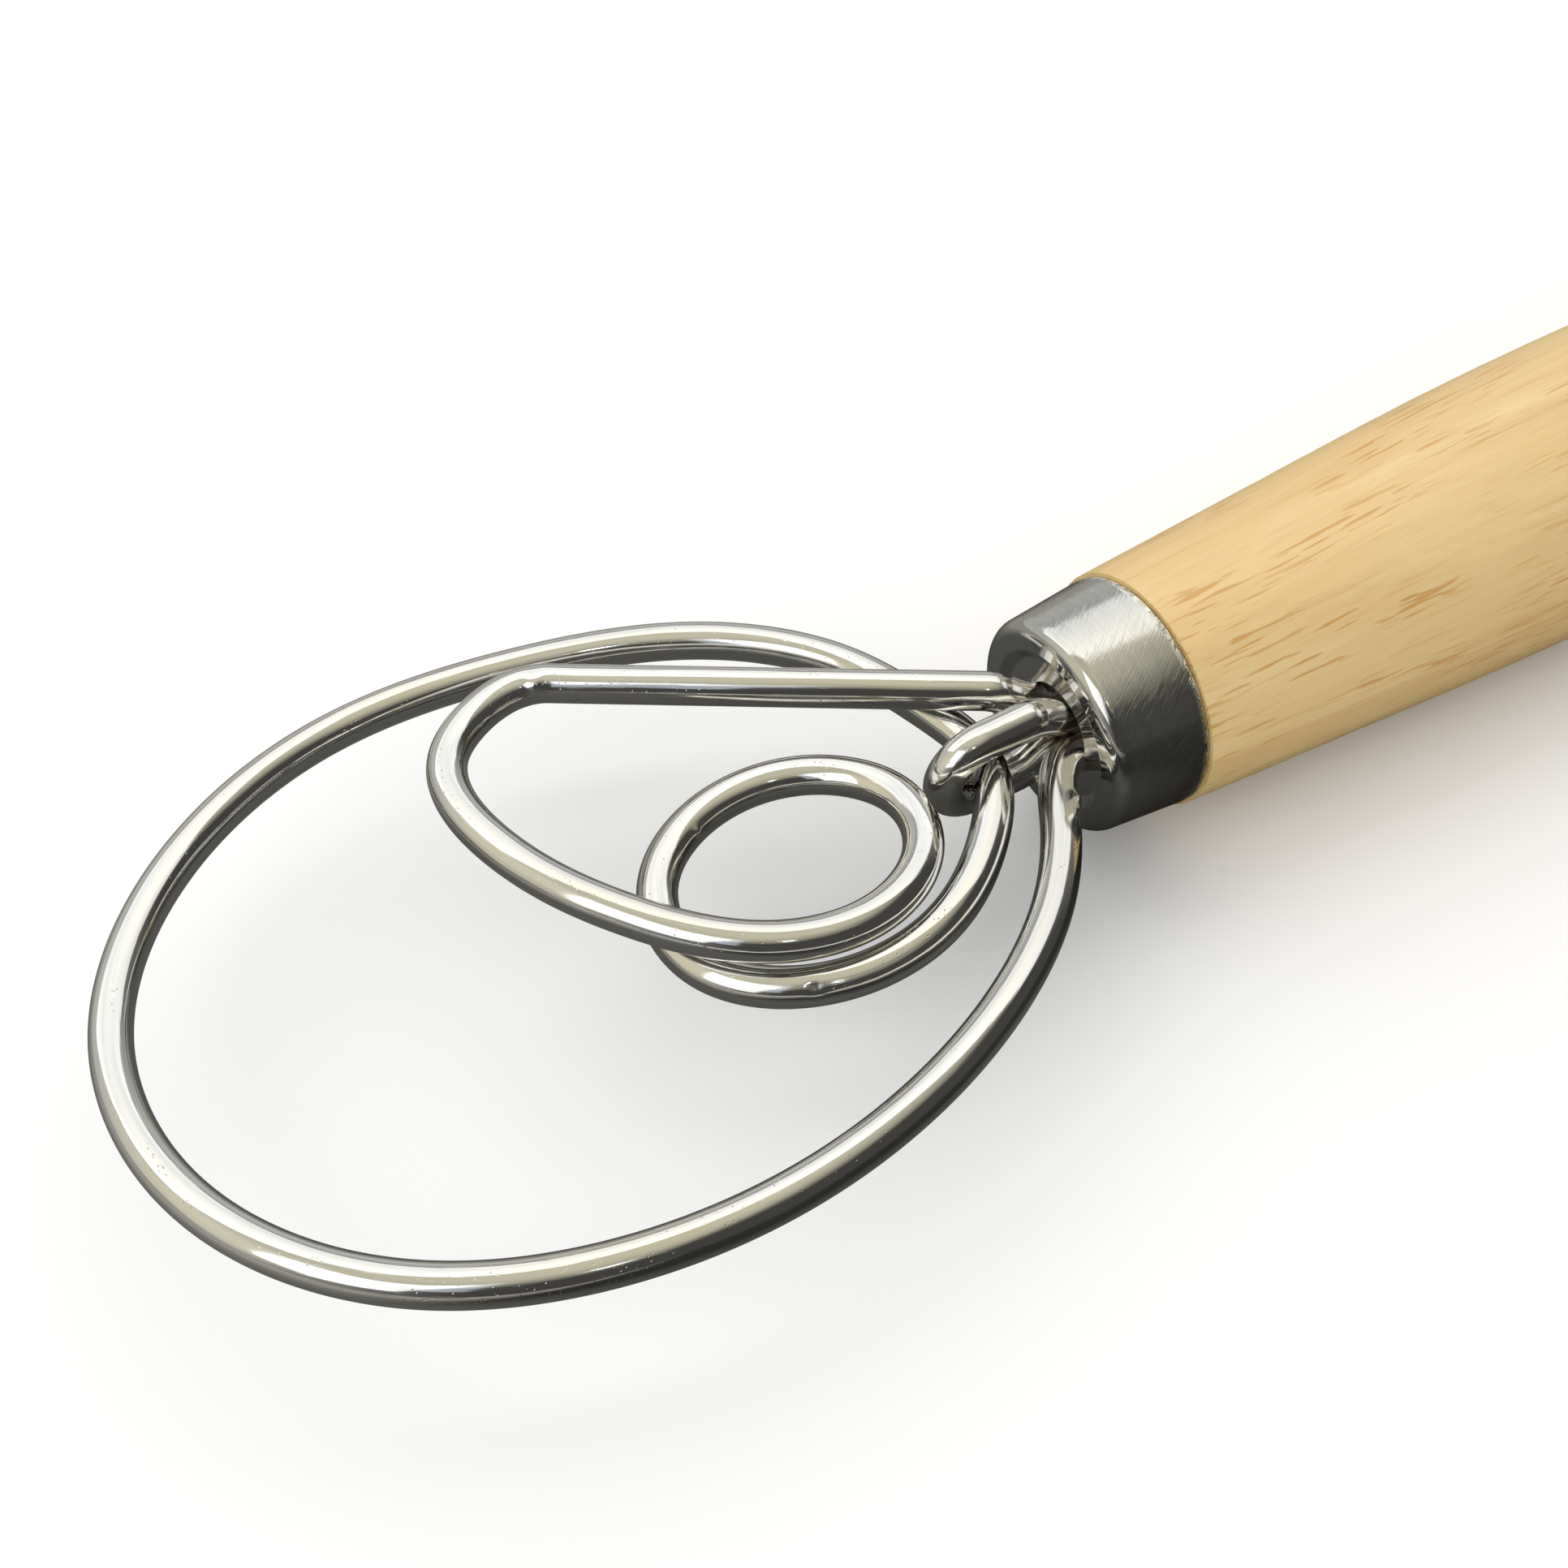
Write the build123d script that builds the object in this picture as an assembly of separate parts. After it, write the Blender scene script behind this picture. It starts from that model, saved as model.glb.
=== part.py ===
from build123d import *
import math
import os

os.makedirs("parts", exist_ok=True)

# Dough whisk: one springy wire bent into nested loops, a retaining hook, a ferrule and
# a turned wooden handle. Lengths are in millimetres. While the pieces are made, x = 0 is
# the ferrule's front edge, +X runs to the tip of the head, and the head lies in XY.

# Wire
wire_diameter = 3.8
leg_end_x = -36.0
mouth_x = -1.5
crossing_rise = 3.9
bond_gap = 0.02

# Ferrule
ferrule_length = 10.0
ferrule_front_radius = 10.9
ferrule_back_radius = 11.8
ferrule_wall = 0.9
ferrule_edge_round = 1.6
face_recess = 0.8
dish_radius = 7.2
dish_slope = 1.0
dish_round = 0.5
mouth_radius = 5.2

# Handle
handle_length = 230.0
shoulder_radius = 12.1
neck_radius = 13.2
neck_distance = 29.0
swell_radius = 14.7
swell_distance = 57.0
belly_radius = 15.0
belly_distance = 85.0
waist_radius = 13.6
waist_distance = 165.0
tail_radius = 12.6
tail_distance = 218.0
shoulder_slope = 0.06
tail_slope = -0.10
tail_round = 9.0
tenon_gap = 0.05
socket_depth = 38.0
hang_hole_radius = 3.0
hang_hole_inset = 16.0

# Legs in the mouth, as (y, z) around the ferrule's axis
inner_leg_seat = (-2.9, 1.1)
outer_leg_seat = (3.0, -1.0)
hook_upper_seat = (0.8, 2.2)
hook_lower_seat = (-0.6, -2.6)

# Straight diagonal leg, from the mouth to the far side of the head
diagonal_start = (4.5, -4.5, crossing_rise)
diagonal_end = (38.5, -28.0, crossing_rise)

# Stations along the bent wire after the diagonal leg, four or five to each turn
middle_loop = [
    (41.0, -29.0, 3.8),
    (46.5, -28.0, 3.5),
    (50.5, -25.0, 3.3),
    (51.5, -12.0, 3.0),
    (45.5, 0.5, 2.6),
    (36.5, 9.5, 2.2),
]
coil_turn = [
    (27.0, 11.5, 1.8),
    (19.0, 7.0, 1.3),
    (17.0, -0.5, 0.5),
    (22.5, -8.0, -0.4),
    (32.5, -9.5, -1.2),
    (40.5, -4.0, -1.8),
]
widening_turn = [
    (41.5, 5.5, -2.0),
    (34.0, 13.0, -1.7),
    (22.5, 14.0, -1.0),
    (12.5, 8.0, -0.4),
    (7.5, 0.5, 0.0),
]
far_side = [
    (8.0, -8.0, 0.0),
    (11.5, -18.5, 0.0),
    (21.5, -29.0, 0.0),
    (38.0, -35.5, 0.0),
    (58.5, -37.0, 0.0),
    (77.5, -28.5, 0.0),
]
near_side = [
    (88.5, -13.0, 0.0),
    (88.5, 5.5, 0.0),
    (78.0, 21.0, 0.0),
    (60.0, 29.5, 0.0),
    (39.0, 30.0, 0.0),
    (16.5, 21.0, 0.0),
    (5.5, 9.5, -0.6),
]

# Retaining hook
hook_turn_x = 8.3
hook_straight_x = 3.5
hook_rise = 3.9
hook_centre_y = 0.4
hook_lean = 0.6


def seat_point(x, seat):
    return (x, seat[0], seat[1])


def direction(start, end):
    return (Vector(*end) - Vector(*start)).normalized()


def smooth_run(points, start_direction, end_direction):
    """A curve through the points that leaves and arrives along the given directions."""
    return Spline(
        *points,
        tangents=(start_direction, end_direction),
        tangent_scalars=(1, 1),
    )


def round_wire(path):
    """Sweep the wire's round section along a path."""
    start = Plane(origin=path @ 0, z_dir=path % 0)
    return sweep(start * Circle(wire_diameter / 2), path=path)


def whisk_wire():
    """The single wire, from one buried end through every loop to the other."""
    forward = Vector(1, 0, 0)
    inner_end = seat_point(leg_end_x, inner_leg_seat)
    inner_mouth = seat_point(mouth_x, inner_leg_seat)
    outer_end = seat_point(leg_end_x, outer_leg_seat)
    outer_mouth = seat_point(mouth_x, outer_leg_seat)
    run = direction(diagonal_start, diagonal_end)
    stations = middle_loop + coil_turn + widening_turn + far_side + near_side
    edges = [
        Line(inner_end, inner_mouth),
        smooth_run([inner_mouth, diagonal_start], forward, run),
        Line(diagonal_start, diagonal_end),
        smooth_run([diagonal_end, *stations, outer_mouth], run, -forward),
        Line(outer_mouth, outer_end),
    ]
    return round_wire(Wire(edges))


def retaining_hook():
    """A separate U of the same wire that straps the crossing turn to the mouth."""
    forward = Vector(1, 0, 0)
    upper_end = seat_point(leg_end_x, hook_upper_seat)
    upper_mouth = seat_point(mouth_x, hook_upper_seat)
    lower_end = seat_point(leg_end_x, hook_lower_seat)
    lower_mouth = seat_point(mouth_x, hook_lower_seat)
    upper_y = hook_centre_y + hook_lean
    lower_y = hook_centre_y - hook_lean
    upper_start = (hook_straight_x, upper_y, hook_rise)
    lower_start = (hook_straight_x, lower_y, -hook_rise)
    upper_turn = (hook_turn_x, upper_y, hook_rise)
    lower_turn = (hook_turn_x, lower_y, -hook_rise)
    turn_radius = math.hypot(hook_rise, hook_lean)
    apex = (hook_turn_x + turn_radius, hook_centre_y, 0)
    edges = [
        Line(upper_end, upper_mouth),
        smooth_run([upper_mouth, upper_start], forward, forward),
        Line(upper_start, upper_turn),
        ThreePointArc(upper_turn, apex, lower_turn),
        Line(lower_turn, lower_start),
        smooth_run([lower_start, lower_mouth], -forward, -forward),
        Line(lower_mouth, lower_end),
    ]
    return round_wire(Wire(edges))


def round_corner(face, x, radius_from_axis, size):
    corner = face.vertices().sort_by_distance((x, radius_from_axis, 0))[0]
    return fillet(corner, size)


def ferrule():
    """A drawn metal cup with a rolled front edge, a dished face and a round mouth."""
    inner_face_x = -face_recess - ferrule_wall
    inner_front_radius = ferrule_front_radius - ferrule_wall
    inner_back_radius = ferrule_back_radius - ferrule_wall
    profile = make_face(Polyline(
        (-face_recess, mouth_radius),
        (-face_recess, dish_radius),
        (0, dish_radius + dish_slope),
        (0, ferrule_front_radius),
        (-ferrule_length, ferrule_back_radius),
        (-ferrule_length, inner_back_radius),
        (inner_face_x, inner_front_radius),
        (inner_face_x, mouth_radius),
        close=True,
    ))
    profile = round_corner(profile, 0, ferrule_front_radius, ferrule_edge_round)
    profile = round_corner(profile, 0, dish_radius + dish_slope, dish_round)
    profile = round_corner(profile, -face_recess, dish_radius, dish_round)
    return revolve(profile, Axis.X)


def wood_handle():
    """A turned handle: tenon in the ferrule, swelling belly, rounded tail, hanging hole."""
    tenon_front_x = -face_recess - ferrule_wall - tenon_gap
    tenon_front_radius = ferrule_front_radius - ferrule_wall - tenon_gap
    tenon_back_radius = ferrule_back_radius - ferrule_wall - tenon_gap
    shoulder_x = -ferrule_length - tenon_gap
    tail_x = -ferrule_length - handle_length
    side = Spline(
        (shoulder_x, shoulder_radius),
        (-neck_distance, neck_radius),
        (-swell_distance, swell_radius),
        (-belly_distance, belly_radius),
        (-waist_distance, waist_radius),
        (-tail_distance, tail_radius),
        (tail_x, tail_radius - tail_round / 4),
        tangents=((-1, shoulder_slope), (-1, 4 * tail_slope)),
    )
    outline = [
        Line((tenon_front_x, 0), (tenon_front_x, tenon_front_radius)),
        Line((tenon_front_x, tenon_front_radius), (shoulder_x, tenon_back_radius)),
        Line((shoulder_x, tenon_back_radius), (shoulder_x, shoulder_radius)),
        side,
        Line((tail_x, tail_radius - tail_round / 4), (tail_x, 0)),
        Line((tail_x, 0), (tenon_front_x, 0)),
    ]
    profile = make_face(Wire(outline))
    profile = round_corner(profile, tail_x, tail_radius - tail_round / 4, tail_round)
    body = revolve(profile, Axis.X)
    socket = Plane(origin=(-socket_depth, 0, 0), z_dir=(1, 0, 0)) * Cylinder(
        mouth_radius, socket_depth, align=(Align.CENTER, Align.CENTER, Align.MIN)
    )
    hang_hole = Pos(tail_x + hang_hole_inset, 0, 0) * Cylinder(hang_hole_radius, 4 * belly_radius)
    return body - socket - hang_hole


def resin_plug():
    """The bond that fills the socket around the four buried legs."""
    front_x = -face_recess - ferrule_wall / 2
    length = socket_depth + front_x
    plug = Plane(origin=(-socket_depth, 0, 0), z_dir=(1, 0, 0)) * Cylinder(
        mouth_radius - bond_gap, length, align=(Align.CENTER, Align.CENTER, Align.MIN)
    )
    channel_start = leg_end_x - bond_gap
    for seat in (inner_leg_seat, outer_leg_seat, hook_upper_seat, hook_lower_seat):
        channel = Plane(origin=seat_point(channel_start, seat), z_dir=(1, 0, 0)) * Cylinder(
            wire_diameter / 2 + bond_gap,
            socket_depth,
            align=(Align.CENTER, Align.CENTER, Align.MIN),
        )
        plug -= channel
    return plug


pieces = {
    "whisk_wire": whisk_wire(),
    "retaining_hook": retaining_hook(),
    "ferrule": ferrule(),
    "wood_handle": wood_handle(),
    "resin_plug": resin_plug(),
}

# Put the origin at the centre of the underside of the whole object.
box = Compound(children=[Part() + piece for piece in pieces.values()]).bounding_box()
shift = Pos(-box.center().X, -box.center().Y, -box.min.Z)
for name, piece in pieces.items():
    export_step(shift * piece, f"parts/{name}.step")
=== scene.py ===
import math

import bpy
import numpy as np
from mathutils import Matrix, Vector


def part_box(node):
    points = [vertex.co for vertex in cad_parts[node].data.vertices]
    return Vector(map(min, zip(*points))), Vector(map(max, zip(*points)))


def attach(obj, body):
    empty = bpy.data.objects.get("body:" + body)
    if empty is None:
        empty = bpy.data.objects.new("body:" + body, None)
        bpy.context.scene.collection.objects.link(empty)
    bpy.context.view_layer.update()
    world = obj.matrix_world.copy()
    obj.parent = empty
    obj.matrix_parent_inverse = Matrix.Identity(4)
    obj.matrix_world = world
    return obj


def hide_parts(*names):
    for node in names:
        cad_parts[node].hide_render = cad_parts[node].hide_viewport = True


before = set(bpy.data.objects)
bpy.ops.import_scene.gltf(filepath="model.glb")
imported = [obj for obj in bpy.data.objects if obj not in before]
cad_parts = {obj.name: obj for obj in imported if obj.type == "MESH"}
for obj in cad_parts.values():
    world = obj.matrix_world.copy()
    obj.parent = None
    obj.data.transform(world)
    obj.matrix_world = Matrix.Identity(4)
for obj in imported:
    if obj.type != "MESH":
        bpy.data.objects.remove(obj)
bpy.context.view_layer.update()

MM = 0.001

# The head frame of the CAD model, in millimetres: x = 0 is the ferrule's front edge, +X runs to
# the tip of the head, and the handle's axis is y = z = 0.
ferrule_low, ferrule_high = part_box("ferrule")
HEAD_ORIGIN = Vector((
    ferrule_high.x,
    (ferrule_low.y + ferrule_high.y) / 2,
    (ferrule_low.z + ferrule_high.z) / 2,
))


def place(points):
    """Head-frame points in millimetres, as row-frame points in metres."""
    return np.asarray(points, float) * MM + np.array(HEAD_ORIGIN)


# ---------------------------------------------------------------- camera
CAMERA_PLACE = (96.36, 116.15, 150.94)  # in the head frame
CAMERA_RIGHT = Vector((-0.85103, 0.52446, -0.02624))
CAMERA_DOWN = Vector((0.39628, 0.60865, -0.68739))
CAMERA_FORWARD = Vector((-0.34454, -0.59539, -0.72582))
CAMERA_LENS = 51.197
CAMERA_SENSOR_WIDTH = 36.0
CAMERA_CLIP = (0.01, 50.0)

camera_data = bpy.data.cameras.new("camera")
camera_data.sensor_fit = "HORIZONTAL"
camera_data.sensor_width = CAMERA_SENSOR_WIDTH
camera_data.lens = CAMERA_LENS
camera_data.clip_start, camera_data.clip_end = CAMERA_CLIP
camera = bpy.data.objects.new("camera", camera_data)
bpy.context.scene.collection.objects.link(camera)
turn = Matrix((CAMERA_RIGHT, -CAMERA_DOWN, -CAMERA_FORWARD)).transposed().to_4x4()
camera.matrix_world = Matrix.Translation(Vector(place(CAMERA_PLACE))) @ turn
bpy.context.scene.camera = camera

# ---------------------------------------------------------------- wire route, as in the CAD
FORWARD = np.array((1.0, 0.0, 0.0))
UP = np.array((0.0, 0.0, 1.0))
WIRE_RADIUS = 1.9
LEG_END = -36.0
MOUTH = -1.5
RISE = 3.9
# Where each leg passes through the ferrule's mouth, as (y, z).
INNER_SEAT = (-2.9, 1.1)
OUTER_SEAT = (3.0, -1.0)
HOOK_UPPER = (0.8, 2.2)
HOOK_LOWER = (-0.6, -2.6)
# The straight run that crosses over the head, and then the loops round to the outer leg.
DIAGONAL = [(4.5, -4.5, RISE), (38.5, -28.0, RISE)]
STATIONS = [
    (41.0, -29.0, 3.8), (46.5, -28.0, 3.5), (50.5, -25.0, 3.3), (51.5, -12.0, 3.0),
    (45.5, 0.5, 2.6), (36.5, 9.5, 2.2), (27.0, 11.5, 1.8), (19.0, 7.0, 1.3),
    (17.0, -0.5, 0.5), (22.5, -8.0, -0.4), (32.5, -9.5, -1.2), (40.5, -4.0, -1.8),
    (41.5, 5.5, -2.0), (34.0, 13.0, -1.7), (22.5, 14.0, -1.0), (12.5, 8.0, -0.4),
    (7.5, 0.5, 0.0), (8.0, -8.0, 0.0), (11.5, -18.5, 0.0), (21.5, -29.0, 0.0),
    (38.0, -35.5, 0.0), (58.5, -37.0, 0.0), (77.5, -28.5, 0.0), (88.5, -13.0, 0.0),
    (88.5, 5.5, 0.0), (78.0, 21.0, 0.0), (60.0, 29.5, 0.0), (39.0, 30.0, 0.0),
    (16.5, 21.0, 0.0), (5.5, 9.5, -0.6),
]
# The hook is a U whose turn stands upright, leaning a little to one side.
HOOK_TURN_X = 8.3
HOOK_STRAIGHT_X = 3.5
HOOK_CENTRE_Y = 0.4
HOOK_LEAN = 0.6

# Spacing of the points along each stretch.
LEG_STEP = 3.0
LOOP_STEP = 0.35
HOOK_STEP = 0.3
HOOK_TURN_POINTS = 60


def unit(vector):
    return vector / np.linalg.norm(vector)


def spline(points, start_tangent, end_tangent, step):
    """A smooth cubic through the points, by chord length, with unit tangents at its ends."""
    points = np.asarray(points, float)
    chords = np.linalg.norm(np.diff(points, axis=0), axis=1)
    count = len(points)
    matrix = np.zeros((count, count))
    target = np.zeros((count, 3))
    matrix[0, 0] = matrix[-1, -1] = 1
    target[0], target[-1] = start_tangent, end_tangent
    for i in range(1, count - 1):
        before, after = chords[i - 1], chords[i]
        matrix[i, i - 1] = after
        matrix[i, i] = 2 * (before + after)
        matrix[i, i + 1] = before
        target[i] = 3 * (after * (points[i] - points[i - 1]) / before
                         + before * (points[i + 1] - points[i]) / after)
    tangents = np.linalg.solve(matrix, target)
    out = []
    for i, chord in enumerate(chords):
        t = np.linspace(0, 1, max(2, math.ceil(chord / step)), endpoint=False)[:, None]
        out.append((2 * t**3 - 3 * t**2 + 1) * points[i]
                   + (t**3 - 2 * t**2 + t) * chord * tangents[i]
                   + (3 * t**2 - 2 * t**3) * points[i + 1]
                   + (t**3 - t**2) * chord * tangents[i + 1])
    return np.vstack([*out, points[-1:]])


def straight(start, end, step):
    """Evenly spaced points from start to end."""
    start, end = np.asarray(start, float), np.asarray(end, float)
    count = max(2, math.ceil(np.linalg.norm(end - start) / step) + 1)
    return start + (end - start) * np.linspace(0, 1, count)[:, None]


def joined(runs):
    """Runs end to end, each of which starts where the one before it ends."""
    return np.vstack([runs[0], *(run[1:] for run in runs[1:])])


def seat(x, yz):
    return (x, *yz)


def whisk_path():
    """The head's one wire: in by the inner leg, over the head, round the loops and back."""
    run = unit(np.subtract(DIAGONAL[1], DIAGONAL[0]))
    return joined([
        straight(seat(LEG_END, INNER_SEAT), seat(MOUTH, INNER_SEAT), LEG_STEP),
        spline([seat(MOUTH, INNER_SEAT), DIAGONAL[0]], FORWARD, run, LOOP_STEP),
        straight(DIAGONAL[0], DIAGONAL[1], LOOP_STEP),
        spline([DIAGONAL[1], *STATIONS, seat(MOUTH, OUTER_SEAT)], run, -FORWARD, LOOP_STEP),
        straight(seat(MOUTH, OUTER_SEAT), seat(LEG_END, OUTER_SEAT), LEG_STEP),
    ])


def hook_path():
    """The U of wire that straps the crossing down, from its upper leg to its lower leg."""
    upper = (HOOK_STRAIGHT_X, HOOK_CENTRE_Y + HOOK_LEAN, RISE)
    lower = (HOOK_STRAIGHT_X, HOOK_CENTRE_Y - HOOK_LEAN, -RISE)
    across = np.array((0.0, HOOK_LEAN, RISE))
    radius = np.linalg.norm(across)
    centre = np.array((HOOK_TURN_X, HOOK_CENTRE_Y, 0.0))
    angles = np.linspace(0, math.pi, HOOK_TURN_POINTS)[:, None]
    bend = centre + np.cos(angles) * across + np.sin(angles) * radius * FORWARD
    return joined([
        straight(seat(LEG_END, HOOK_UPPER), seat(MOUTH, HOOK_UPPER), LEG_STEP),
        spline([seat(MOUTH, HOOK_UPPER), upper], FORWARD, FORWARD, HOOK_STEP),
        straight(upper, bend[0], HOOK_STEP),
        bend,
        straight(bend[-1], lower, HOOK_STEP),
        spline([lower, seat(MOUTH, HOOK_LOWER)], -FORWARD, -FORWARD, HOOK_STEP),
        straight(seat(MOUTH, HOOK_LOWER), seat(LEG_END, HOOK_LOWER), LEG_STEP),
    ])


# ---------------------------------------------------------------- mesh helpers
WIRE_SIDES = 56
CUP_SIDES = 192
CUP_UNROLLED_RADIUS = 11.0


def lengths(points):
    """The distance along a line of points, at each point."""
    return np.concatenate([[0], np.cumsum(np.linalg.norm(np.diff(points, axis=0), axis=1))])


def ring_angles(sides):
    return np.linspace(0, 2 * math.pi, sides, endpoint=False)


def ring_mesh(name, rings, along, radius, uv_name, flipped=False, capped=False):
    """An object of rings of points joined in order, smooth all over.

    Its UV map holds the distances along and around, in millimetres, with the way round measured
    at one radius. Flipped faces turn the other way, and a capped object has a face at each end.
    """
    rows, sides = rings.shape[:2]
    side_width = 2 * math.pi / sides * radius
    faces = []
    uv_values = []
    for i in range(rows - 1):
        for j in range(sides):
            corners = [(i, j), (i, j + 1), (i + 1, j + 1), (i + 1, j)]
            if flipped:
                corners[1], corners[3] = corners[3], corners[1]
            faces.append([row * sides + column % sides for row, column in corners])
            for row, column in corners:
                uv_values += [along[row], column * side_width]
    if capped:
        faces.append(list(range(sides))[::-1])
        faces.append([(rows - 1) * sides + j for j in range(sides)])
        uv_values += [0.0] * (4 * sides)
    mesh = bpy.data.meshes.new(name)
    mesh.from_pydata(place(rings.reshape(-1, 3)).tolist(), [], faces)
    uv = mesh.uv_layers.new(name=uv_name)
    uv.data.foreach_set("uv", np.array(uv_values, np.float32))
    for polygon in mesh.polygons:
        polygon.use_smooth = True
    mesh.update()
    obj = bpy.data.objects.new(name, mesh)
    bpy.context.scene.collection.objects.link(obj)
    return obj


def tube(name, path, marks=()):
    """A length of the wire on a path, with the UV map "wire".

    Each mark is a small swelling or dent: its place along and around, its width and its height.
    """
    tangent = np.gradient(path, axis=0)
    tangent /= np.linalg.norm(tangent, axis=1)[:, None]
    normals = [unit(UP - tangent[0] * (UP @ tangent[0]))]
    for direction in tangent[1:]:
        normals.append(unit(normals[-1] - direction * (normals[-1] @ direction)))
    normal = np.array(normals)[:, None, :]
    side = np.cross(tangent, normals)[:, None, :]
    angles = ring_angles(WIRE_SIDES)
    outward = np.cos(angles)[None, :, None] * normal + np.sin(angles)[None, :, None] * side
    along = lengths(path)
    reach = np.full(outward.shape[:2], WIRE_RADIUS)
    for mark_along, mark_around, width, height in marks:
        turned = (angles - mark_around / WIRE_RADIUS + math.pi) % (2 * math.pi) - math.pi
        distance = np.hypot(along[:, None] - mark_along, turned[None, :] * WIRE_RADIUS)
        reach += height * np.exp(-((distance / width) ** 2))
    rings = path[:, None, :] + reach[:, :, None] * outward
    return ring_mesh(name, rings, along, WIRE_RADIUS, "wire", capped=True)


def lathe(name, outline):
    """An outline of (x, r) points turned about the handle's axis, with the UV map "turned"."""
    outline = np.asarray(outline)
    x, r = outline[:, 0, None], outline[:, 1, None]
    angles = ring_angles(CUP_SIDES)
    rings = np.stack([x + np.zeros(CUP_SIDES), r * np.cos(angles), r * np.sin(angles)], axis=2)
    return ring_mesh(name, rings, lengths(outline), CUP_UNROLLED_RADIUS, "turned", flipped=True)


def corner_arc(before, corner, after, radius, count=10):
    """Points of a round of that radius in a corner of an (x, r) outline."""
    corner = np.asarray(corner)
    to_before = unit(before - corner)
    to_after = unit(after - corner)
    half_angle = math.acos(to_before @ to_after) / 2
    centre = corner + unit(to_before + to_after) * radius / math.sin(half_angle)
    reach = radius / math.tan(half_angle)
    start = corner + to_before * reach - centre
    end = corner + to_after * reach - centre
    sweep = math.pi - 2 * half_angle
    points = []
    for t in np.linspace(0, 1, count):
        spoke = math.sin((1 - t) * sweep) * start + math.sin(t * sweep) * end
        points.append(centre + spoke / math.sin(sweep))
    return points


def rounded_outline(corners):
    """(x, r, radius) corners as a dense outline of (x, r) points."""
    out = []
    for i, (x, r, radius) in enumerate(corners):
        if radius == 0:
            out.append(np.array((x, r)))
        else:
            out += corner_arc(corners[i - 1][:2], (x, r), corners[i + 1][:2], radius)
    return out


# ---------------------------------------------------------------- node helpers
class Tree:
    """Short calls for adding and joining nodes."""

    def __init__(self, tree):
        self.tree = tree

    def add(self, kind, **values):
        node = self.tree.nodes.new(kind)
        for key, value in values.items():
            setattr(node, key, value)
        return node

    def link(self, source, target):
        self.tree.links.new(source, target)

    def feed(self, socket, value):
        """Joins a socket to another, or sets its number, or sets its colour without alpha."""
        if isinstance(value, bpy.types.NodeSocket):
            self.link(value, socket)
        elif isinstance(value, tuple):
            socket.default_value = (*value, 1.0)
        else:
            socket.default_value = value

    def mapping(self, source, scale=(1, 1, 1), offset=(0, 0, 0), degrees=0):
        node = self.add("ShaderNodeMapping")
        self.link(source, node.inputs["Vector"])
        node.inputs["Scale"].default_value = scale
        node.inputs["Location"].default_value = offset
        node.inputs["Rotation"].default_value = (0, 0, math.radians(degrees))
        return node.outputs[0]

    def uv(self, name, scale=(1, 1, 1), offset=(0, 0, 0), degrees=0):
        source = self.add("ShaderNodeUVMap", uv_map=name)
        return self.mapping(source.outputs[0], scale, offset, degrees)

    def position(self):
        """Object coordinates, which are the row frame's, in metres."""
        return self.add("ShaderNodeTexCoord").outputs["Object"]

    def local(self, scale, offset=(0, 0, 0)):
        return self.mapping(self.position(), scale, offset)

    def axes(self, vector):
        """The X, Y and Z of a vector."""
        node = self.add("ShaderNodeSeparateXYZ")
        self.link(vector, node.inputs[0])
        return node.outputs

    def noise(self, vector, detail=3.0, roughness=0.5, distortion=0.0):
        node = self.add("ShaderNodeTexNoise")
        self.link(vector, node.inputs["Vector"])
        node.inputs["Scale"].default_value = 1.0
        node.inputs["Detail"].default_value = detail
        node.inputs["Roughness"].default_value = roughness
        node.inputs["Distortion"].default_value = distortion
        return node.outputs["Fac"]

    def cells(self, vector):
        node = self.add("ShaderNodeTexVoronoi")
        self.link(vector, node.inputs["Vector"])
        node.inputs["Scale"].default_value = 1.0
        return node.outputs["Distance"]

    def ramp(self, value, stops):
        """A blend through (position, colour) stops."""
        node = self.add("ShaderNodeValToRGB")
        elements = node.color_ramp.elements
        while len(elements) > 1:
            elements.remove(elements[-1])
        for index, (position, colour) in enumerate(stops):
            element = elements[0] if index == 0 else elements.new(position)
            element.position = position
            element.color = (*colour, 1.0)
        self.link(value, node.inputs[0])
        return node.outputs[0]

    def levels(self, value, low, high, out_low=0.0, out_high=1.0):
        """The value's range low to high, stretched to the range out and cut off past its ends."""
        node = self.add("ShaderNodeMapRange")
        self.link(value, node.inputs["Value"])
        node.inputs["From Min"].default_value = low
        node.inputs["From Max"].default_value = high
        node.inputs["To Min"].default_value = out_low
        node.inputs["To Max"].default_value = out_high
        return node.outputs["Result"]

    def math(self, operation, a, b):
        node = self.add("ShaderNodeMath", operation=operation)
        self.feed(node.inputs[0], a)
        self.feed(node.inputs[1], b)
        return node.outputs[0]

    def plus(self, a, b):
        return self.math("ADD", a, b)

    def times(self, a, b):
        return self.math("MULTIPLY", a, b)

    def mix(self, factor, a, b):
        node = self.add("ShaderNodeMix", data_type="RGBA")
        self.feed(node.inputs["Factor"], factor)
        self.feed(node.inputs[6], a)
        self.feed(node.inputs[7], b)
        return node.outputs[2]

    def bump(self, height, strength, distance, normal=None):
        node = self.add("ShaderNodeBump")
        self.link(height, node.inputs["Height"])
        node.inputs["Strength"].default_value = strength
        node.inputs["Distance"].default_value = distance
        if normal is not None:
            self.link(normal, node.inputs["Normal"])
        return node.outputs[0]


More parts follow.
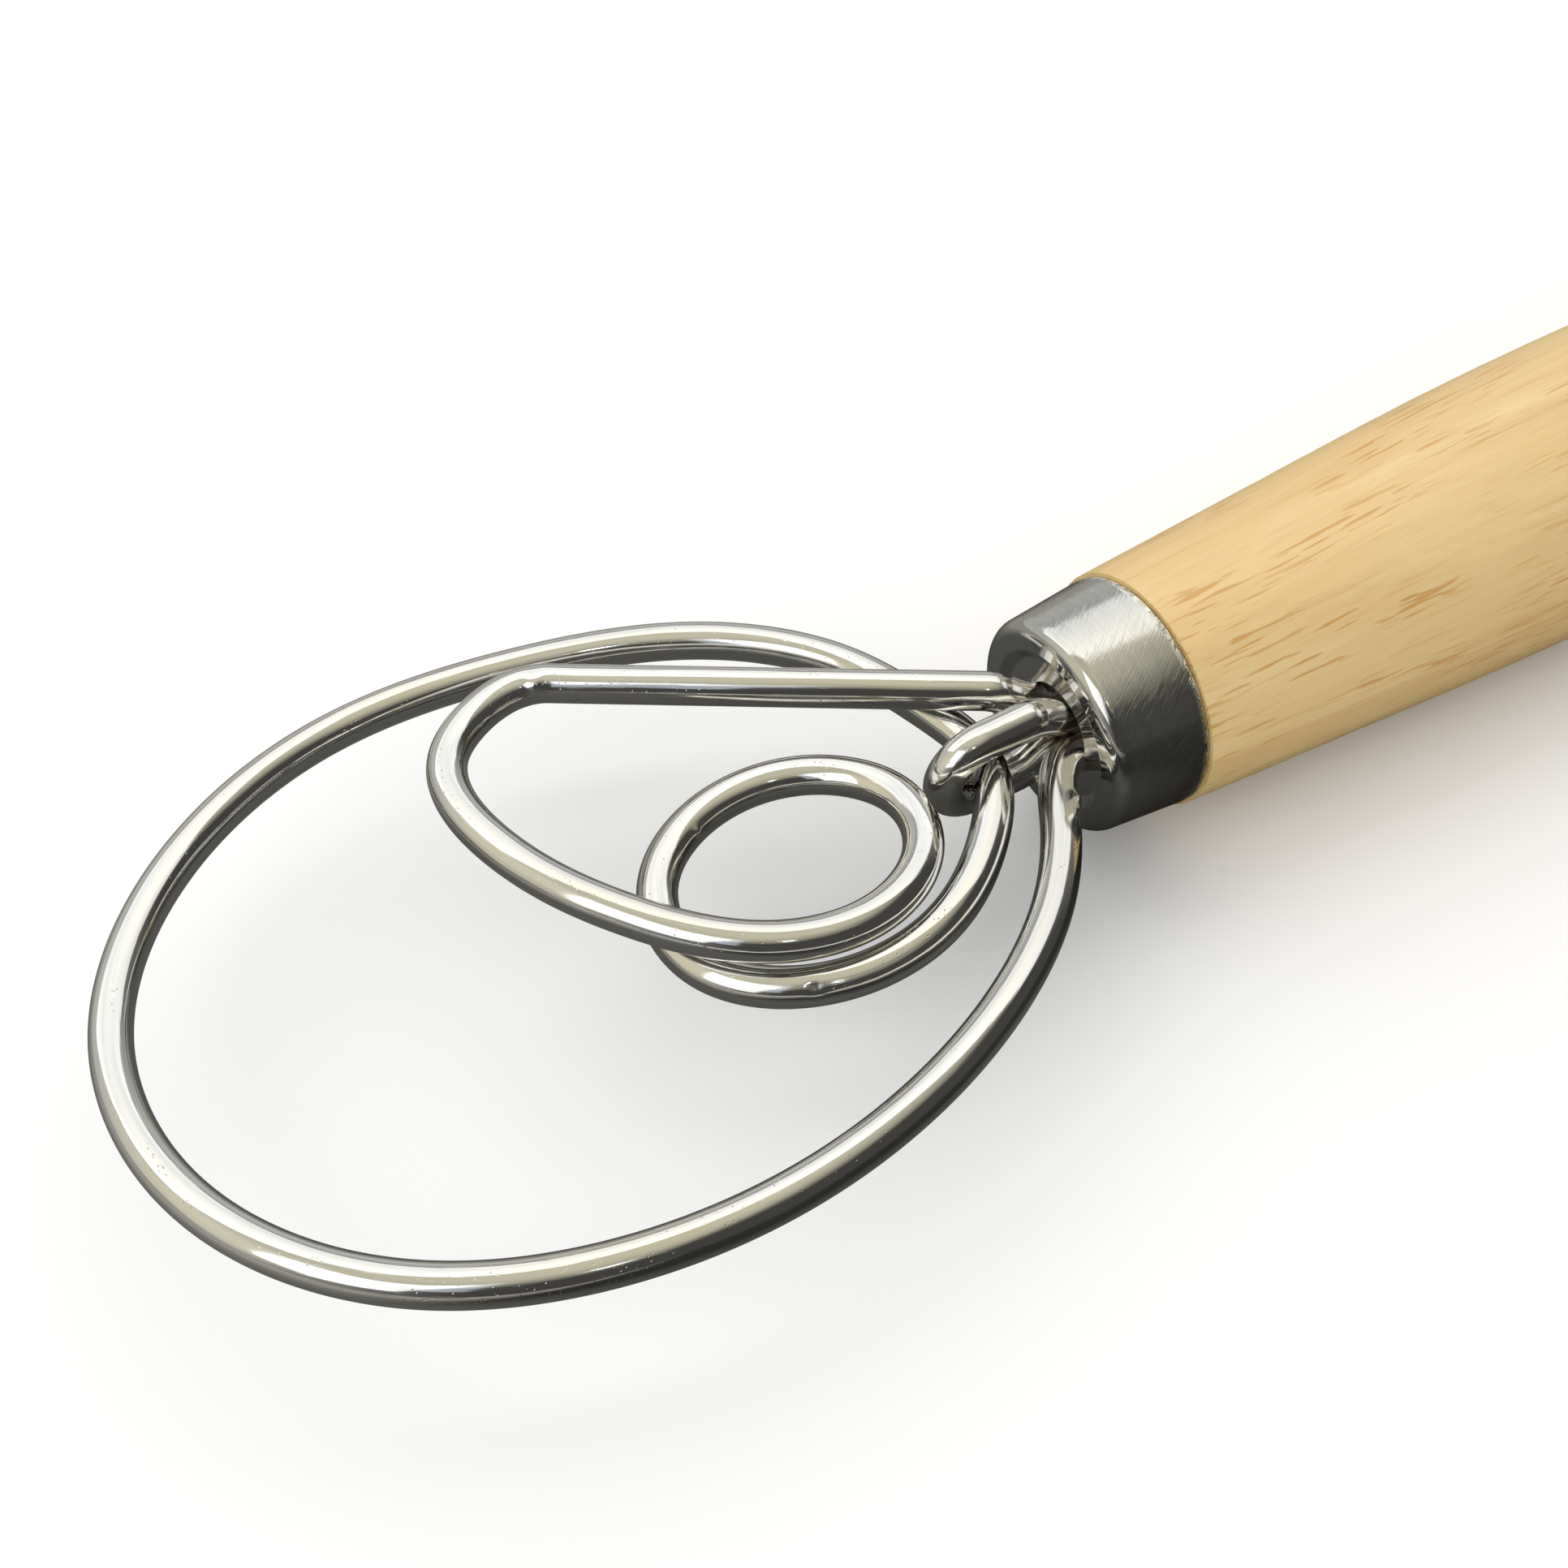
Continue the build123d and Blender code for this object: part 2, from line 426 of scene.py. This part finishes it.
class Nodes(Tree):
    """One material's nodes, around a principled shader."""

    def __init__(self, name):
        self.material = bpy.data.materials.new(name)
        self.material.use_nodes = True
        super().__init__(self.material.node_tree)
        self.tree.nodes.clear()
        self.shader = self.add("ShaderNodeBsdfPrincipled")
        output = self.add("ShaderNodeOutputMaterial")
        self.link(self.shader.outputs[0], output.inputs["Surface"])

    def surface(self, **values):
        """Sets or joins the shader's inputs, with _ for a space, and gives the material."""
        for name, value in values.items():
            self.feed(self.shader.inputs[name.replace("_", " ")], value)
        return self.material


# ---------------------------------------------------------------- materials
# Textures are scaled per millimetre on a UV map and per metre in object coordinates. A scale that
# is smaller along the piece than around it draws the texture out into lines.
def near_mouth(n, reach):
    """1 at the ferrule's mouth, falling to 0 at that many millimetres in front of it."""
    x = n.axes(n.position())["X"]
    return n.levels(x, HEAD_ORIGIN.x - MM, HEAD_ORIGIN.x + reach * MM, 1.0, 0.0)


def steel_wire_material():
    """Bright drawn wire with fine lines, a few nicks and a rusty stain near the mouth."""
    n = Nodes("wire_steel")
    bright, grey, straw = (0.84, 0.84, 0.83), (0.70, 0.695, 0.68), (0.80, 0.73, 0.58)
    rust, shadow = (0.50, 0.31, 0.15), (0.32, 0.31, 0.29)

    drawn = n.noise(n.uv("wire", (0.02, 1.3, 1)), 4.0, 0.6)
    scratches = n.levels(n.noise(n.uv("wire", (0.22, 9.0, 1), (3, 7, 0)), 2.0), 0.62, 0.80)
    specks = n.levels(n.cells(n.uv("wire", (2.0, 2.4, 1), (1, 5, 0))), 0.10, 0.20, 1.0, 0.0)
    rarity = n.levels(n.noise(n.uv("wire", (0.10, 0.45, 1), (9, 2, 0)), 2.0), 0.53, 0.65)
    nicks = n.times(specks, rarity)
    waves = n.noise(n.uv("wire", (0.06, 0.22, 1), (4, 4, 0)), 1.0)
    warm = n.levels(n.noise(n.uv("wire", (0.03, 0.5, 1), (2, 8, 0)), 2.0), 0.50, 0.68)
    blotches = n.levels(n.noise(n.local((420, 420, 420), (5, 1, 3))), 0.42, 0.60)
    stain = n.times(n.times(near_mouth(n, 2.6), blotches), 0.65)

    tone = n.mix(n.levels(drawn, 0.35, 0.70), bright, grey)
    tone = n.mix(n.times(warm, 0.30), tone, straw)
    tone = n.mix(stain, tone, rust)
    tone = n.mix(n.times(nicks, 0.4), tone, shadow)
    rough = n.plus(n.levels(drawn, 0.3, 0.75, 0.06, 0.14), n.times(scratches, 0.14))
    rough = n.plus(rough, n.times(stain, 0.25))
    normal = n.bump(waves, 0.35, 0.0006)
    normal = n.bump(scratches, 0.10, 0.00004, normal)
    normal = n.bump(nicks, 0.50, -0.00008, normal)
    return n.surface(Base_Color=tone, Metallic=1.0, Roughness=rough, Normal=normal)


def ferrule_material():
    """Pressed steel: polished in front, brushed and scratched on its side, chip-marked at the
    rear, where the chip marks carry painted highlight specks.
    """
    n = Nodes("ferrule_steel")
    bright, grey, straw = (0.72, 0.72, 0.71), (0.60, 0.60, 0.585), (0.64, 0.61, 0.54)
    shadow, chip_highlight = (0.50, 0.49, 0.47), (0.92, 0.92, 0.90)

    # Places on the outline: the side starts on the rounded front corner, the chip marks with their
    # painted highlight specks are just before the rear corner, and the rear face is past it.
    along = n.axes(n.uv("turned"))["X"]
    side = n.levels(along, 7.3, 8.9)
    before_rear = n.levels(along, 16.1, 16.6)
    rear = n.levels(along, 16.9, 17.9)

    brush = n.noise(n.uv("turned", (4.5, 0.12, 1)), 5.0, 0.65)
    slanted = n.uv("turned", degrees=-38)
    scratches = n.levels(n.noise(n.mapping(slanted, (0.35, 7.0, 1)), 3.0, 0.6), 0.52, 0.66)
    cloud = n.noise(n.uv("turned", (0.25, 0.16, 1), (2, 5, 1)))
    flecks = n.noise(n.uv("turned", (1.4, 0.7, 1), (6, 1, 4)), 3.0, 0.6)
    chips_and_highlights = n.times(before_rear, n.levels(flecks, 0.44, 0.54))

    tone = n.mix(n.levels(brush, 0.35, 0.7), bright, grey)
    tone = n.mix(n.times(n.levels(cloud, 0.45, 0.7), 0.3), tone, straw)
    tone = n.mix(n.times(scratches, 0.30), tone, shadow)
    # Painted highlight: chip marks by the rear corner are painted near white, so they shine.
    tone = n.mix(n.times(chips_and_highlights, 0.8), tone, chip_highlight)
    worn = n.plus(n.levels(brush, 0.3, 0.75, 0.07, 0.14), n.times(scratches, 0.16))
    rough = n.plus(n.times(worn, side), 0.06)
    rough = n.plus(rough, n.times(rear, 0.06))
    rough = n.plus(rough, n.times(chips_and_highlights, 0.22))
    normal = n.bump(n.times(scratches, side), 0.18, -0.00005)
    normal = n.bump(n.times(brush, side), 0.06, 0.00006, normal)
    normal = n.bump(cloud, 0.05, 0.0005, normal)
    normal = n.bump(chips_and_highlights, 0.60, 0.0002, normal)
    return n.surface(Base_Color=tone, Metallic=1.0, Roughness=rough, Normal=normal)


def wood_material():
    """Pale varnished hardwood, with its grain along X and clusters of short open pores."""
    n = Nodes("handle_wood")
    dark, middle, light = (0.67, 0.435, 0.175), (0.77, 0.54, 0.235), (0.83, 0.63, 0.305)
    pale, amber, fibre_brown = (0.84, 0.635, 0.305), (0.75, 0.475, 0.185), (0.62, 0.41, 0.165)
    faint_brown, pore_brown = (0.66, 0.42, 0.16), (0.64, 0.355, 0.10)

    broad = n.noise(n.local((6, 55, 55), (6, 2, 9)), 3.0, 0.5, 0.3)
    streak = n.noise(n.local((16, 260, 260), (1, 4, 2)), 4.0, 0.55, 0.3)
    fibre = n.noise(n.local((60, 1500, 1500), (3, 1, 2)), 4.0, 0.6)
    patch = n.noise(n.local((28, 60, 60), (8, 8, 1)), 2.0)
    dashes = n.noise(n.local((95, 2300, 2300), (1, 3, 5)), 1.5, 0.45)
    clusters = n.noise(n.local((45, 170, 170), (7, 5, 3)), 2.0)
    pores = n.times(n.levels(dashes, 0.57, 0.63), n.levels(clusters, 0.46, 0.58))
    long_dashes = n.noise(n.local((50, 1400, 1400), (4, 6, 8)), 2.0)
    faint = n.times(n.levels(long_dashes, 0.58, 0.70), 0.45)

    tone = n.ramp(streak, [(0.28, dark), (0.50, middle), (0.72, light)])
    tone = n.mix(n.levels(broad, 0.40, 0.66, 0.0, 0.55), tone, pale)
    tone = n.mix(n.levels(patch, 0.50, 0.72, 0.0, 0.45), tone, amber)
    tone = n.mix(n.levels(fibre, 0.40, 0.75, 0.0, 0.25), tone, fibre_brown)
    tone = n.mix(faint, tone, faint_brown)
    tone = n.mix(n.times(pores, 0.95), tone, pore_brown)
    rough = n.levels(fibre, 0.3, 0.7, 0.36, 0.48)
    normal = n.bump(fibre, 0.10, 0.00008)
    normal = n.bump(pores, 0.35, -0.00012, normal)
    return n.surface(Base_Color=tone, Roughness=rough, Normal=normal,
                     Coat_Weight=0.3, Coat_Roughness=0.25)


def resin_material():
    """Brown bonding resin, with painted shade: nearly black above the lower part of the mouth."""
    n = Nodes("bond_resin")
    dark, brown, amber = (0.07, 0.032, 0.012), (0.20, 0.095, 0.030), (0.36, 0.19, 0.065)
    black = (0.012, 0.010, 0.008)

    z = n.axes(n.position())["Z"]
    # Painted shade: nearly black above the lower part of the mouth, for the shade in the recess.
    high = n.levels(z, HEAD_ORIGIN.z - 3.0 * MM, HEAD_ORIGIN.z - 0.5 * MM)
    cloud = n.noise(n.local((500, 500, 500)))
    tone = n.ramp(cloud, [(0.30, dark), (0.55, brown), (0.75, amber)])
    tone = n.mix(n.times(high, 0.95), tone, black)
    rough = n.levels(cloud, 0.3, 0.7, 0.14, 0.32)
    return n.surface(Base_Color=tone, Roughness=rough, Normal=n.bump(cloud, 0.4, 0.0004))


def dress(obj, material):
    obj.data.materials.clear()
    obj.data.materials.append(material)


# ---------------------------------------------------------------- pieces
# Swellings and dents left by bending and clamping the wire:
# place along, place around, width, height, in millimetres.
WIRE_MARKS = [
    (84.0, 9.9, 0.9, 0.38),
    (482.0, 1.35, 0.7, 0.32),
    (480.7, 1.30, 0.45, 0.25),
    (186.3, 8.7, 0.45, 0.24),
    (214.3, 0.25, 0.6, -0.15),
]
wire_steel = steel_wire_material()

wire = tube("wire_loops", whisk_path(), WIRE_MARKS)
dress(wire, wire_steel)
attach(wire, "root")
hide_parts("whisk_wire")

hook = tube("hook_strap", hook_path())
dress(hook, wire_steel)
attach(hook, "root")
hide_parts("retaining_hook")

# The ferrule's walls, its dished front and the mouth in it, in millimetres.
CUP_LENGTH = (ferrule_high.x - ferrule_low.x) / MM
CUP_REAR_RADIUS = (ferrule_high.y - ferrule_low.y) / 2 / MM
CUP_FRONT_RADIUS = 10.9
CUP_WALL = 0.9
DISH_DEPTH = 0.8
DISH_FLOOR_RADIUS = 7.2
DISH_RIM_RADIUS = 8.2
MOUTH_RADIUS = 4.5
DISH_BACK = -DISH_DEPTH - CUP_WALL

ferrule_outline = rounded_outline([
    (DISH_BACK, MOUTH_RADIUS, 0),
    (-DISH_DEPTH, MOUTH_RADIUS, 0.25),
    (-DISH_DEPTH, DISH_FLOOR_RADIUS, 0.5),
    (0.0, DISH_RIM_RADIUS, 0.5),
    (0.0, CUP_FRONT_RADIUS, 1.6),
    (-CUP_LENGTH, CUP_REAR_RADIUS, 0.35),
    (-CUP_LENGTH, CUP_REAR_RADIUS - CUP_WALL, 0),
    (DISH_BACK, CUP_FRONT_RADIUS - CUP_WALL, 0),
    (DISH_BACK, MOUTH_RADIUS, 0),
])
ferrule = lathe("ferrule_cup", ferrule_outline)
dress(ferrule, ferrule_material())
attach(ferrule, "root")
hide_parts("ferrule")

dress(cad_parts["wood_handle"], wood_material())
dress(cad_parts["resin_plug"], resin_material())

# ---------------------------------------------------------------- studio
bpy.context.scene.view_settings.view_transform = "Standard"

FLOOR_SIZE = 12.0
# In reflections the floor is a grey table, in metres: almost black on the side of the handle and
# past NEAR_Y, and light beyond FAR_Y and TIP_X.
HANDLE_X = 0.085
NEAR_Y = 0.03
DARK_FADE = 0.03
FAR_Y = -0.03
TIP_X = 0.165
LIGHT_FADE = 0.05

# Soft parts of the room that show in polished metal, a later one over an earlier one:
# azimuth, elevation, half angle, softness in degrees, colour.
ROOM_TONE = (0.26, 0.256, 0.24)
ROOM = [
    (110, 10, 75, 30, (0.060, 0.058, 0.053)),
    (285, 18, 70, 30, (0.54, 0.535, 0.51)),
    (250, 68, 40, 25, (0.22, 0.22, 0.215)),
    (60, 88, 32, 34, (0.66, 0.625, 0.47)),
    (345, 30, 24, 28, (0.74, 0.70, 0.53)),
]
DAYLIGHT = (0.80, 0.80, 0.79)

# Area lights that point at the root of the head:
# name, azimuth, elevation, distance, width, height, brightness in reflections, colour.
SOFTBOX_AIM = HEAD_ORIGIN + Vector((0.02, 0, 0))
SOFTBOXES = [
    ("ceiling", 250, 55, 1.3, 2.9, 1.15, 0.86, (1.0, 1.0, 0.985)),
    ("window", 20, 36, 1.3, 0.75, 0.95, 1.15, (1.0, 1.0, 1.0)),
    ("window_edge", 44, 42, 1.3, 0.18, 0.75, 0.45, (0.80, 0.88, 1.0)),
    ("lamp", 75, 50, 1.2, 0.07, 0.07, 5.0, (0.95, 0.98, 1.0)),
]


def towards(azimuth, elevation):
    """A unit vector: azimuth 0 is +X and 90 is +Y."""
    a, e = math.radians(azimuth), math.radians(elevation)
    return Vector((math.cos(e) * math.cos(a), math.cos(e) * math.sin(a), math.sin(e)))


def floor_material():
    """Pale to the eye, greyer in the light that it throws up, and a table in reflections."""
    n = Nodes("floor")
    pale, white, bounce = (0.945, 0.945, 0.94), (0.96, 0.96, 0.955), (0.62, 0.61, 0.60)
    table, dark, light = (0.11, 0.108, 0.10), (0.022, 0.022, 0.021), (0.30, 0.29, 0.26)

    axes = n.axes(n.position())
    x, y = axes["X"], axes["Y"]
    past_dark = n.math("MAXIMUM", n.math("SUBTRACT", HANDLE_X, x), n.math("SUBTRACT", y, NEAR_Y))
    past_light = n.math("MAXIMUM", n.math("SUBTRACT", FAR_Y, y), n.math("SUBTRACT", x, TIP_X))
    reflected = n.mix(n.levels(past_dark, 0.0, DARK_FADE), table, dark)
    reflected = n.mix(n.levels(past_light, 0.0, LIGHT_FADE), reflected, light)

    ray = n.add("ShaderNodeLightPath").outputs
    tone = n.mix(n.noise(n.local((3, 3, 3)), 2.0), pale, white)
    tone = n.mix(ray["Is Diffuse Ray"], tone, bounce)
    tone = n.mix(ray["Is Glossy Ray"], tone, reflected)
    return n.surface(Base_Color=tone, Roughness=0.9, Specular_IOR_Level=0.1)


def studio_world():
    """Even daylight for matt surfaces, and a room of soft patches in reflections."""
    world = bpy.data.worlds.new("studio")
    world.use_nodes = True
    t = Tree(world.node_tree)
    direction = t.add("ShaderNodeTexCoord").outputs["Generated"]
    room = ROOM_TONE
    for azimuth, elevation, half, soft, colour in ROOM:
        dot = t.add("ShaderNodeVectorMath", operation="DOT_PRODUCT")
        t.link(direction, dot.inputs[0])
        dot.inputs[1].default_value = towards(azimuth, elevation)
        edge = math.cos(math.radians(half + soft / 2))
        full = math.cos(math.radians(half - soft / 2))
        room = t.mix(t.levels(dot.outputs["Value"], edge, full), room, colour)
    ray = t.add("ShaderNodeLightPath").outputs
    background = t.tree.nodes["Background"]
    t.link(t.mix(ray["Is Glossy Ray"], DAYLIGHT, room), background.inputs["Color"])
    return world


def add_softbox(name, azimuth, elevation, distance, width, height, brightness, colour):
    data = bpy.data.lights.new(name, "AREA")
    data.shape = "RECTANGLE"
    data.size, data.size_y = width, height
    data.energy = brightness * math.pi * width * height
    data.color = colour
    light = bpy.data.objects.new(name, data)
    bpy.context.scene.collection.objects.link(light)
    direction = towards(azimuth, elevation)
    light.location = SOFTBOX_AIM + direction * distance
    light.rotation_euler = (-direction).to_track_quat("-Z", "Y").to_euler()


bpy.ops.mesh.primitive_plane_add(size=FLOOR_SIZE, location=(0, 0, 0))
floor = bpy.context.object
floor.name = "floor"
dress(floor, floor_material())

bpy.context.scene.world = studio_world()
for softbox in SOFTBOXES:
    add_softbox(*softbox)
